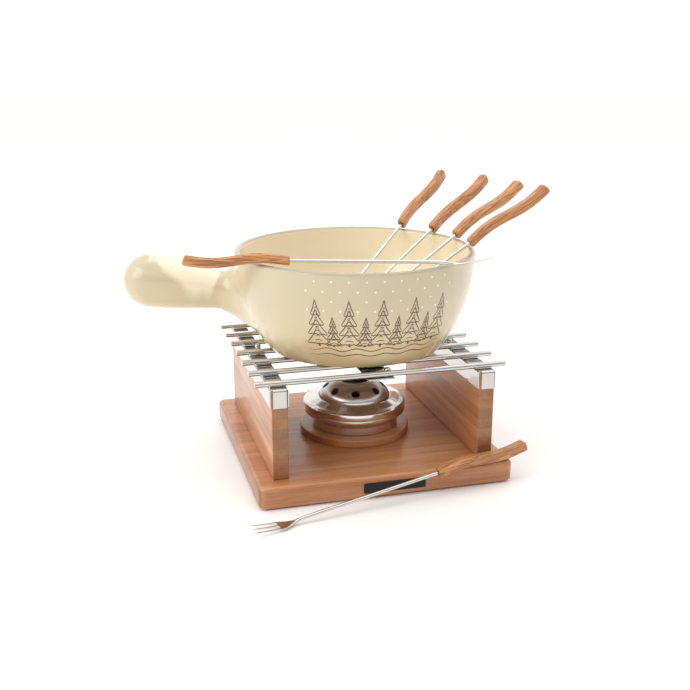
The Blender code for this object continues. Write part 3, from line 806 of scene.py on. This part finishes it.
class Drawing:
    """Line work on the pot's wall. A place is (across, up) in millimetres: across runs round the wall from
    the drawing's middle, and up is the height over the foot."""

    TURN = radians(-93)
    ROUND_RADIUS = 108.0
    WEIGHT = 1.6
    # Height over the glaze: patches lie lowest and dots highest. All are rooted under it.
    PATCH_LIFT = 0.04 * MM
    LINE_LIFT = 0.05 * MM
    DOT_LIFT = 0.06 * MM
    ROOT = -0.2 * MM

    def __init__(self):
        self.shape = bmesh.new()

    def at(self, place, lift):
        across, up = place
        height = up * MM
        radius, below = (bowl_radius(height), bowl_radius(height - 0.5 * MM))
        lean = Vector((0.5 * MM, below - radius)).normalized()
        angle = self.TURN + across / self.ROUND_RADIUS
        out = radius + lift * lean.x
        return Vector((out * cos(angle), out * sin(angle), POT_LOW.z + height + lift * lean.y))

    def stroke(self, places, width, taper=0.45):
        """A line of paint: a thin closed ribbon through the places, narrower at its ends."""
        points = densified([Vector(place) for place in places], 1.6)
        rings = []
        last = len(points) - 1
        for index, point in enumerate(points):
            heading = (points[min(index + 1, last)] - points[max(index - 1, 0)]).normalized()
            side = Vector((-heading.y, heading.x))
            end = min(index, last - index) / max(last / 2, 1)
            half = self.WEIGHT * width / 2 * (taper + (1 - taper) * min(1.0, 2.5 * end))
            left, right = point + side * half, point - side * half
            rings.append([self.at(left, self.LINE_LIFT), self.at(right, self.LINE_LIFT),
                          self.at(right, self.ROOT), self.at(left, self.ROOT)])
        lofted(rings, self.shape)

    def patch(self, left, right, low, high, strips=8):
        """A filled rectangle, in strips narrow enough to follow the wall."""
        rings = []
        for step in range(strips + 1):
            across = left + (right - left) * step / strips
            corners = ((high, self.PATCH_LIFT), (low, self.PATCH_LIFT), (low, self.ROOT), (high, self.ROOT))
            rings.append([self.at((across, up), lift) for up, lift in corners])
        lofted(rings, self.shape)

    def dot(self, place, radius):
        centre = Vector(place)
        ring = [centre + radius * Vector((cos(2 * pi * k / 12), sin(2 * pi * k / 12))) for k in range(12)]
        lofted([[self.at(point, lift) for point in ring] for lift in (self.ROOT, self.DOT_LIFT)], self.shape)


def bowl_radius(height):
    """The bowl's outer radius at a height over its foot."""
    rise = min(max(1 - height / POT_HEIGHT, 0.0), 1.0) ** (1 / BOWL_STEEPNESS)
    spread = sqrt(max(0.0, 1 - rise * rise)) ** BOWL_ROUNDNESS
    return POT_FOOT_RADIUS + (POT_RADIUS - POT_FOOT_RADIUS) * spread


def densified(points, spacing):
    """Add points so that none is further than the spacing from the next."""
    result = [points[0]]
    for start, end in zip(points, points[1:]):
        parts = max(1, int((end - start).length / spacing + 0.5))
        result += [start.lerp(end, part / parts) for part in range(1, parts + 1)]
    return result


def curve_through(places, count):
    """Places on a smooth curve through the given ones, a count of them from each to the next."""
    points = [Vector(place) for place in places]
    padded = [2 * points[0] - points[1], *points, 2 * points[-1] - points[-2]]
    result = []
    for index in range(1, len(padded) - 2):
        a, b, c, d = padded[index - 1:index + 3]
        for step in range(count):
            t = step / count
            result.append(0.5 * (2 * b + (c - a) * t + (2 * a - 5 * b + 4 * c - d) * t * t
                                 + (3 * b - a - 3 * c + d) * t**3))
    result.append(points[-1])
    return result


def draw_fir(lines, trunks, across, up, height):
    """A stylised fir: four tiers like stacked tents, each with a scalloped hem and chevrons inside."""
    trunks.patch(across - 1.1, across + 1.1, up, up + 0.07 * height)
    for tier in range(4):
        reach = height * (0.10 + 0.055 * tier)
        top = up + height * (1 - 0.19 * tier)
        hem = up + height * (1 - 0.19 * tier - 0.30 - 0.02 * tier)
        for side in (-1, 1):
            shoulder = (across + side * reach * 0.40, top - (top - hem) * 0.52)
            lines.stroke(curve_through([(across, top), shoulder, (across + side * reach, hem)], 4), 0.6)
        scallops = 3 + tier
        row = [(across + reach * (t / 12 - 1), hem - 0.9 * abs(sin(pi * scallops * t / 24)))
               for t in range(25)]
        lines.stroke(row, 0.65, 0.8)
        for share in (0.36, 0.62):
            half = 0.50 * reach * share
            peak = top - (top - hem) * (share + 0.16)
            chevron = [(across - half, peak - 1.0), (across, peak), (across + half, peak - 1.0)]
            lines.stroke(chevron, 0.5, 0.7)


def build_drawing():
    """A plain repeating winter frieze: firs of two sizes in turn, wavy ground and rows of even dots."""
    lines, trunks, snow = Drawing(), Drawing(), Drawing()
    spacing, sizes = 14.5, (44.0, 29.0)
    firs = [(spacing * step, 23.0, sizes[step % 2]) for step in range(-4, 5)]
    for across, up, height in firs:
        draw_fir(lines, trunks, across, up, height)
    for level, swing in ((20.0, 1.5), (14.5, 1.1)):
        wave = [(2.0 * step, level + swing * sin(2 * pi * step / 14.5)) for step in range(-35, 36)]
        lines.stroke(wave, 0.6, 0.2)
    for row in range(4):
        up = 57.0 + 8.5 * row
        for step in range(-6, 7):
            across = spacing * (step + 0.5 * ((row + 1) % 2))
            inside_fir = any(abs(across - place) < 4.0 and up < foot + height + 2.5
                             for place, foot, height in firs)
            if not inside_fir and abs(across) < 70:
                snow.dot((across, up), 0.95)

    for name, drawing, colour in (("drawing_lines", lines, (0.125, 0.058, 0.024)),
                                  ("drawing_trunks", trunks, (0.135, 0.040, 0.030)),
                                  ("drawing_snow", snow, (0.84, 0.77, 0.61))):
        finish_piece(name, drawing.shape, glazed_paint(name, colour), "pot", None, sharp=radians(50))


# ---------------------------------------------------------------- forks


def fork_frame(tip, aim, roll):
    """The frame of a fork whose axis runs from its tip through another point."""
    along = (aim - tip).normalized()
    across = Vector((0, 0, 1)).cross(along).normalized()
    matrix = Matrix((along, across, along.cross(across))).transposed().to_4x4()
    matrix.translation = tip + FORK_REACH * along
    return matrix @ Matrix.Rotation(radians(roll), 4, "X")


def over_rim(angle, height):
    crest = POT_RADIUS - POT_WALL / 2
    return Vector((crest * cos(radians(angle)), crest * sin(radians(angle)), POT_HIGH.z + height))


def grip_mesh():
    """A hand-shaped grip: a gentle wave, eased facets, a dished front face and a slanted end."""
    half_width, half_thickness, facet = 0.0055, 0.0044, 0.0020

    def section(x, scale, rise, slant):
        wide, thick = half_width * scale, half_thickness * scale
        corners = [Vector((wide, -thick)), Vector((wide, thick)), Vector((-wide, thick)),
                   Vector((-wide, -thick))]
        flats = []
        for index, corner in enumerate(corners):
            for other in (corners[index - 1], corners[(index + 1) % 4]):
                flats.append(corner + (other - corner).normalized() * facet * scale)
        outline = soften(flats, 0.0016, 3, closed=True)
        return [(x - slant * z, y, z + rise) for y, z in outline]

    rod_hole = ROD_RADIUS + 0.0004
    count = len(section(0, 1, 0, 0))
    angles = [2 * pi * k / count - radians(45) for k in range(count)]
    bore = ((TANG_LENGTH + CLEARANCE, rod_hole), (0.0006, rod_hole), (0, rod_hole + 0.0004))
    hole = [[(x, radius * cos(a), radius * sin(a)) for a in angles] for x, radius in bore]
    rows = [(0.0, 0.80), (0.0004, 0.88), (0.0011, 0.93)]
    steps = 26
    rows += [(0.0022 + (GRIP_LENGTH - 0.0052) * step / steps, 0.94 + 0.10 * step / steps)
             for step in range(steps + 1)]
    rows += [(GRIP_LENGTH - 0.0017, 1.02), (GRIP_LENGTH - 0.0008, 0.95), (GRIP_LENGTH - 0.0003, 0.81)]
    sections = []
    for x, scale in rows:
        rise = GRIP_WAVE * sin(2 * pi * x / GRIP_LENGTH)
        share = max(0.0, (x - 0.8 * GRIP_LENGTH) / (0.2 * GRIP_LENGTH))
        sections.append(section(x, scale, rise, 0.28 * share))
    return mesh_of("grip", lofted([*hole, *sections]))


def add_tines(shape, palm):
    """Draw three tines out of the palm's last ring, and close the gaps between them."""
    # Along the tines: x, spacing of the tines, rise, half width, half thickness
    rows = ((-0.1520, 0.0059, 0.0002, 0.0013, 0.0007), (-0.1570, 0.0061, 0.0010, 0.0012, 0.0006),
            (-0.1640, 0.0064, 0.0025, 0.0011, 0.0005), (-0.1700, 0.0065, 0.0038, 0.0009, 0.0004),
            (-FORK_REACH, 0.0067, 0.0043, 0.0005, 0.0003))
    for tine in range(3):
        left, right = 2 * tine, 2 * tine + 1
        tine_rings = [[palm[left], palm[right], palm[11 - right], palm[11 - left]]]
        for x, spread, rise, wide, thick in rows:
            y = (tine - 1) * spread
            corners = ((y - wide, rise + thick), (y + wide, rise + thick), (y + wide, rise - thick),
                       (y - wide, rise - thick))
            tine_rings.append([shape.verts.new((x, across, up)) for across, up in corners])
        bridge(shape, tine_rings)
        shape.faces.new(tine_rings[-1])
        if tine < 2:
            shape.faces.new((palm[right], palm[right + 1], palm[10 - right], palm[11 - right]))


def rod_mesh():
    """A steel rod drawn out into a palm with three tines: a cage that a subdivision rounds off."""
    cage_growth = 3 / (2 + cos(radians(30)))  # a round cage shrinks by this when it is subdivided

    def round_section(x, radius, rise=0.0):
        size = radius * cage_growth
        return [(x, size * cos(radians(165 - 30 * k)), rise + size * sin(radians(165 - 30 * k)))
                for k in range(12)]

    spacing = (-1.0, -0.62, -0.19, 0.19, 0.62, 1.0)

    def flat_section(x, half_width, half_thickness, rise):
        over = [(x, half_width * part, rise + half_thickness) for part in spacing]
        under = [(x, half_width * part, rise - half_thickness) for part in reversed(spacing)]
        return over + under

    sections = [round_section(TANG_LENGTH, ROD_RADIUS), round_section(TANG_LENGTH - 0.0005, ROD_RADIUS)]
    sections += [round_section(-0.120 * step / 4, ROD_RADIUS) for step in range(5)]
    sections += [round_section(-0.128, ROD_RADIUS, -0.0001), round_section(-0.133, 0.00145, -0.0006),
                 flat_section(-0.1375, 0.0024, 0.0011, -0.0012),
                 flat_section(-0.1420, 0.0050, 0.0008, -0.0013),
                 flat_section(-0.1460, 0.0070, 0.0007, -0.0009),
                 flat_section(-0.1490, 0.0075, 0.0007, -0.0004),
                 flat_section(-0.1505, 0.0076, 0.0007, -0.0001)]
    shape = bmesh.new()
    rings = [[shape.verts.new(point) for point in section] for section in sections]
    bridge(shape, rings)
    shape.faces.new(rings[0])
    add_tines(shape, rings[-1])
    cage = linked("cage", mesh_of("cage", shape))
    modifier = cage.modifiers.new("round", "SUBSURF")
    modifier.levels = modifier.render_levels = 2
    return applied(cage)


def build_forks(wood, steel):
    floor = POT_LOW.z + POT_FLOOR
    rim = POT_HIGH.z
    # Tip, another point of the axis, roll in degrees
    places = (
        (Vector((-0.0460, -0.0215, floor + 0.0072)), over_rim(47.0, 0.0068), -90),
        (Vector((-0.0413, -0.0275, floor + 0.0072)), over_rim(26.6, 0.0068), -90),
        (Vector((-0.0401, -0.0363, floor + 0.0044)), over_rim(6.4, 0.0062), 0),
        (Vector((-0.0468, -0.0483, floor - 0.0012)), over_rim(-17.9, 0.0064), 0),
        (Vector((0.0901, -0.1107, rim + 0.0037)), Vector((-0.0931, -0.0526, rim + 0.0037)), 12.2),
        (Vector((-0.1270, -0.1510, -0.0008)), Vector((0.0999, -0.1110, 0.0268)), 0),
    )
    rod = rod_mesh()
    for number, (tip, aim, roll) in enumerate(places, 1):
        matrix = fork_frame(tip, aim, roll)
        body = f"fork_{number}"
        grip = grip_mesh()
        keep_place(grip, 0.37 * number)
        finish_piece(f"wooden_grip_{number}", grip, wood, body, "olive_wood", f"fork_{number}_grip",
                     matrix=matrix)
        finish_piece(f"steel_rod_{number}", rod.copy(), steel, body, "steel", f"fork_{number}_shaft",
                     matrix=matrix, sharp=radians(60))


# ---------------------------------------------------------------- burner

DOME_RADIUS = 33.2
OPENING_RADIUS = 14.0
DOME_BASE = 28.4
DOME_RISE = 13.5
DOME_FLATNESS = 1.3
HOLE_RADIUS = 4.0
BURNER_SHEET = 0.8
LEDGE = 23.0


def scaled(outline):
    """An outline given in millimetres, in metres."""
    return [tuple(value * MM for value in point) for point in outline]


def dome_curve(inset, steps):
    """Points of the domed top in millimetres, from its opening down to its widest ring."""
    reach = DOME_RADIUS - OPENING_RADIUS - inset
    rise = DOME_RISE - inset
    points = []
    for step in range(steps + 1):
        angle = pi / 2 * step / steps
        points.append((OPENING_RADIUS + reach * sin(angle) ** DOME_FLATNESS,
                       DOME_BASE + rise * max(0.0, cos(angle)) ** DOME_FLATNESS, 0))
    return points


def hole_pins():
    """Eight pins, square to the dome half way up, that cut its flame holes."""
    angle = radians(42)
    reach = DOME_RADIUS - OPENING_RADIUS
    centre = Vector((OPENING_RADIUS + reach * cos(angle), 0, DOME_BASE + DOME_RISE * sin(angle))) * MM
    slope = Vector((cos(angle) / reach, 0, sin(angle) / DOME_RISE))
    pin = turned(scaled([(0, -6), (HOLE_RADIUS, -6), (HOLE_RADIUS, 6), (0, 6)]), 28)
    lean = Vector((0, 0, 1)).rotation_difference(slope).to_matrix().to_4x4()
    return with_copies(pin, [Matrix.Rotation(radians(-103) + 2 * pi * k / 8, 4, "Z")
                             @ Matrix.Translation(centre) @ lean for k in range(8)])


def build_burner(bright, satin, wool):
    low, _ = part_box("fuel_cup")
    base = Matrix.Translation((0, 0, low.z))
    outline = soften([(0, 0), (41.5, 0, 1.2), (41.5, 7.2, 1.2), (48.5, 13.8, 0.6), (48.5, 16.4, 0.3),
                      (47.7, 16.4, 0.3), (47.7, 14.1, 1.2), (40.7, 7.5, 2.4), (40.7, 0.8, 1.2),
                      (0, 0.8)], 0.3, 5)
    finish_piece("spun_fuel_cup", turned(scaled(outline), 144), bright, "burner", "burner_steel",
                 "fuel_cup", matrix=base)
    build_filling(wool, bright)

    # The cover: a band over the cup, a rolled shoulder, a sloping top and a collar with a ledge inside
    outline = soften([(48.5, 16.7, 0.2), (48.5, 22.4, 0.5), (46.8, 23.6, 0.4), (43.0, 24.0, 1.0),
                      (35.3, 26.6, 0.8), (34.9, 27.0, 0.2), (34.2, 27.0, 0.2), (34.2, LEDGE, 0.2),
                      (32.0, LEDGE, 0.2), (32.0, LEDGE - 0.8, 0.2), (35.0, LEDGE - 0.8, 0.3),
                      (35.0, 25.8, 0.3), (43.0, 22.9, 0.9), (46.6, 21.9, 0.8), (46.6, 14.9, 0.2),
                      (47.4, 14.9, 0.2), (47.4, 16.7, 0.0)], 0.3, 4, closed=True)
    start, end = radians(126), radians(172)
    angles = [start + (end - start) * step / 14 for step in range(15)]
    inner = [(44.5 * MM * cos(a), 44.5 * MM * sin(a)) for a in angles]
    outer = [(52.5 * MM * cos(a), 52.5 * MM * sin(a)) for a in reversed(angles)]
    slot = lofted([[(x, y, z * MM) for x, y in inner + outer] for z in (18.6, 21.4)])
    cover = combine(turned(scaled(outline), 144), (slot, "DIFFERENCE"))
    finish_piece("spun_cover", cover, bright, "burner_top", "burner_steel", "burner_cover", matrix=base)

    foot = LEDGE + 0.3
    outline = soften([*dome_curve(0, 20), (33.2, foot, 0.3), (32.4, foot, 0.3),
                      *reversed(dome_curve(BURNER_SHEET, 20))], 0.3, 4, closed=True)
    dome = combine(turned(scaled(outline), 112), (hole_pins(), "DIFFERENCE"))
    piece = finish_piece("pierced_dome", dome, satin, "burner_top", "burner_steel", "flame_dome",
                         matrix=base)
    ease(piece, 0.16 * MM)
    build_regulator(satin, base, foot)


def wool_shape(low, high):
    """A round pad with an uneven tufted top."""
    chance = Random(3)
    pad_radius, sides, rings, tuft = high.x - 0.6 * MM, 60, 16, 0.5 * MM

    def circle(ring):
        reach = ring / rings * pad_radius
        angles = [2 * pi * k / sides for k in range(sides)]
        return [(reach * cos(a), reach * sin(a)) for a in angles]

    def tufted(x, y):
        rough = abs(fractal(Vector((x, y, 0)) * 260, 1.0, 2.0, 3))
        return x, y, high.z - 0.1 * MM - tuft * rough * chance.uniform(0.6, 1.0)

    sections = [[(x, y, low.z + 0.2 * MM) for x, y in circle(rings - 1)],
                [(x, y, low.z + 1.2 * MM) for x, y in circle(rings)]]
    for ring in range(rings, 0, -1):
        sections.append([tufted(x, y) for x, y in circle(ring)])
    return lofted(sections)


def gauze_shape(low, high):
    """Wires woven both ways inside a flat hoop."""
    reach = high.x - 0.4 * MM
    middle = (low.z + high.z) / 2
    pitch, wire, weave = 2.5 * MM, 0.17 * MM, 0.12 * MM
    corners = (pi / 4, 3 * pi / 4, 5 * pi / 4, 7 * pi / 4)
    shape = bmesh.new()
    count = int(reach / pitch)
    for turn in (0, 1):
        for row in range(-count, count + 1):
            offset = row * pitch
            half = sqrt(max(reach ** 2 - offset ** 2, 0))
            crossings = int(half / pitch)
            if crossings < 1:
                continue
            sections = []
            for step in range(-2 * crossings, 2 * crossings + 1):
                along = step * pitch / 2
                over = 0 if step % 2 else (1 if (step // 2 + row + turn) % 2 else -1)
                height = middle + over * weave
                ring = [(along, offset + wire * cos(a), height + wire * sin(a)) for a in corners]
                sections.append([(y, x, z) for x, y, z in ring] if turn else ring)
            lofted(sections, shape)
    hoop = [(reach - wire + 2 * wire * cos(a), middle + 0.25 * MM * sin(a)) for a in corners]
    add_shape(shape, turned(hoop, 72))
    return shape


def build_filling(wool, bright):
    """The wool pad in the cup, and the woven wire over it."""
    low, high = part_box("wool_pad")
    finish_piece("wool_filling", wool_shape(low, high), wool, "burner", "wool", "wool_pad",
                 sharp=radians(70))
    low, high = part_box("wire_gauze")
    finish_piece("woven_gauze", gauze_shape(low, high), bright, "burner", "burner_steel", "wire_gauze",
                 sharp=radians(95))


def build_regulator(steel, base, foot):
    """The pierced dome inside, which turns by its arm and covers or clears the flame holes."""
    inset = BURNER_SHEET + 0.6
    outer = dome_curve(inset, 20)
    inner = dome_curve(inset + BURNER_SHEET, 20)
    flange = DOME_RADIUS - BURNER_SHEET - 0.4
    skirt, skirt_foot = 31.5, 19.2
    outline = [*outer, (outer[-1][0], foot + 0.7, 0.2), (flange, foot + 0.7, 0.2), (flange, foot, 0.2),
               (skirt, foot, 0.2), (skirt, skirt_foot, 0.2), (skirt - BURNER_SHEET, skirt_foot, 0.2),
               (skirt - BURNER_SHEET, foot, 0.2), *reversed(inner)]
    shell = turned(scaled(soften(outline, 0.3, 3, closed=True)), 96)
    start, end = skirt - BURNER_SHEET / 2, 54.0
    middle = skirt_foot + 0.7
    arm = rounded_block(Vector((start, -2.5, middle - 0.6)) * MM, Vector((end, 2.5, middle + 0.6)) * MM,
                        2.3 * MM, 0.3 * MM, 5)
    arm.transform(Matrix.Rotation(radians(132), 4, "Z"))
    mesh = combine(shell, (hole_pins(), "DIFFERENCE"), (arm, "UNION"))
    finish_piece("pierced_regulator", mesh, steel, "regulator", "burner_steel", "flame_regulator",
                 matrix=base)


# ---------------------------------------------------------------- stage


def area_light(name, place, target, size, power, colour):
    light = bpy.data.lights.new(name, "AREA")
    light.shape = "RECTANGLE"
    light.size, light.size_y = size
    light.energy = power
    light.color = colour
    lamp = linked(name, light)
    lamp.location = place
    lamp.rotation_euler = (Vector(target) - Vector(place)).to_track_quat("-Z", "Y").to_euler()


def build_room(tree):
    """An even white room with a dim band behind the camera, which gives the metal its dark lines. The band
    starts above the horizon, so that the backdrop is white from every side."""
    room = tree.nodes["Background"]
    room.inputs["Color"].default_value = (1.0, 0.995, 0.987, 1)
    bright, dim = 1.10, 0.20
    nodes = NodeTree(tree)
    parts = nodes.parts(nodes.node("TexCoord").outputs["Generated"])
    behind = nodes.spread(parts[1], 0.0, 1.0, -0.15, -0.55, "SMOOTHSTEP")
    low = nodes.spread(parts[2], 1.0, 0.0, 0.34, 0.66, "SMOOTHSTEP")
    raised = nodes.spread(parts[2], 0.0, 1.0, 0.09, 0.17, "SMOOTHSTEP")
    band = nodes.maths("MULTIPLY", nodes.maths("MULTIPLY", behind, low), raised)
    tree.links.new(nodes.spread(band, bright, dim, curve="SMOOTHSTEP"), room.inputs["Strength"])


# How far the floor lies below the base board
FLOOR_GAP = 0.8 * MM


def build_stage():
    """A pale floor, a bright even room, a large soft key from the left and a soft top light."""
    floor_shape = bmesh.new()
    bmesh.ops.create_circle(floor_shape, cap_ends=True, segments=96, radius=6.0)
    mesh = bpy.data.meshes.new("floor")
    floor_shape.to_mesh(mesh)
    floor_shape.free()
    paint = Shader("pale_floor", Base_Color=(0.985, 0.984, 0.980, 1), Roughness=0.6, Specular_IOR_Level=0.2)
    mesh.materials.append(paint.material)
    floor = linked("floor", mesh)
    floor.location.z = -FLOOR_GAP

    world = bpy.data.worlds.new("room")
    world.use_nodes = True
    build_room(world.node_tree)
    bpy.context.scene.world = world

    area_light("key", (-1.35, -0.35, 0.95), (0, 0, 0.10), (1.0, 1.0), 7.5, (1.0, 0.985, 0.96))
    area_light("top", (0.15, 0.25, 1.50), (0, 0, 0.10), (1.4, 1.0), 5, (1.0, 0.99, 0.975))

    camera = linked("camera", bpy.data.cameras.new("camera"))
    camera.data.lens = 52.0
    camera.data.sensor_width = 36.0
    camera.location = (-0.2476, -0.8652, 0.3777)
    camera.rotation_euler = (radians(90 - 16.96), 0, radians(-15.41))
    bpy.context.scene.camera = camera
    bpy.context.scene.view_settings.view_transform = "Standard"


def main():
    chrome = chrome_plate()
    bright = spun_steel("spun_steel", (0.80, 0.76, 0.73), 0.08, 0.17)
    satin = spun_steel("satin_steel", (0.72, 0.69, 0.66), 0.24, 0.36)
    rod_steel = polished_rod()
    build_stand(rod_steel)
    build_grate(chrome)
    build_pot(cream_glaze())
    build_drawing()
    build_forks(streaked_wood(), rod_steel)
    build_burner(bright, satin, mineral_wool())
    build_stage()


main()
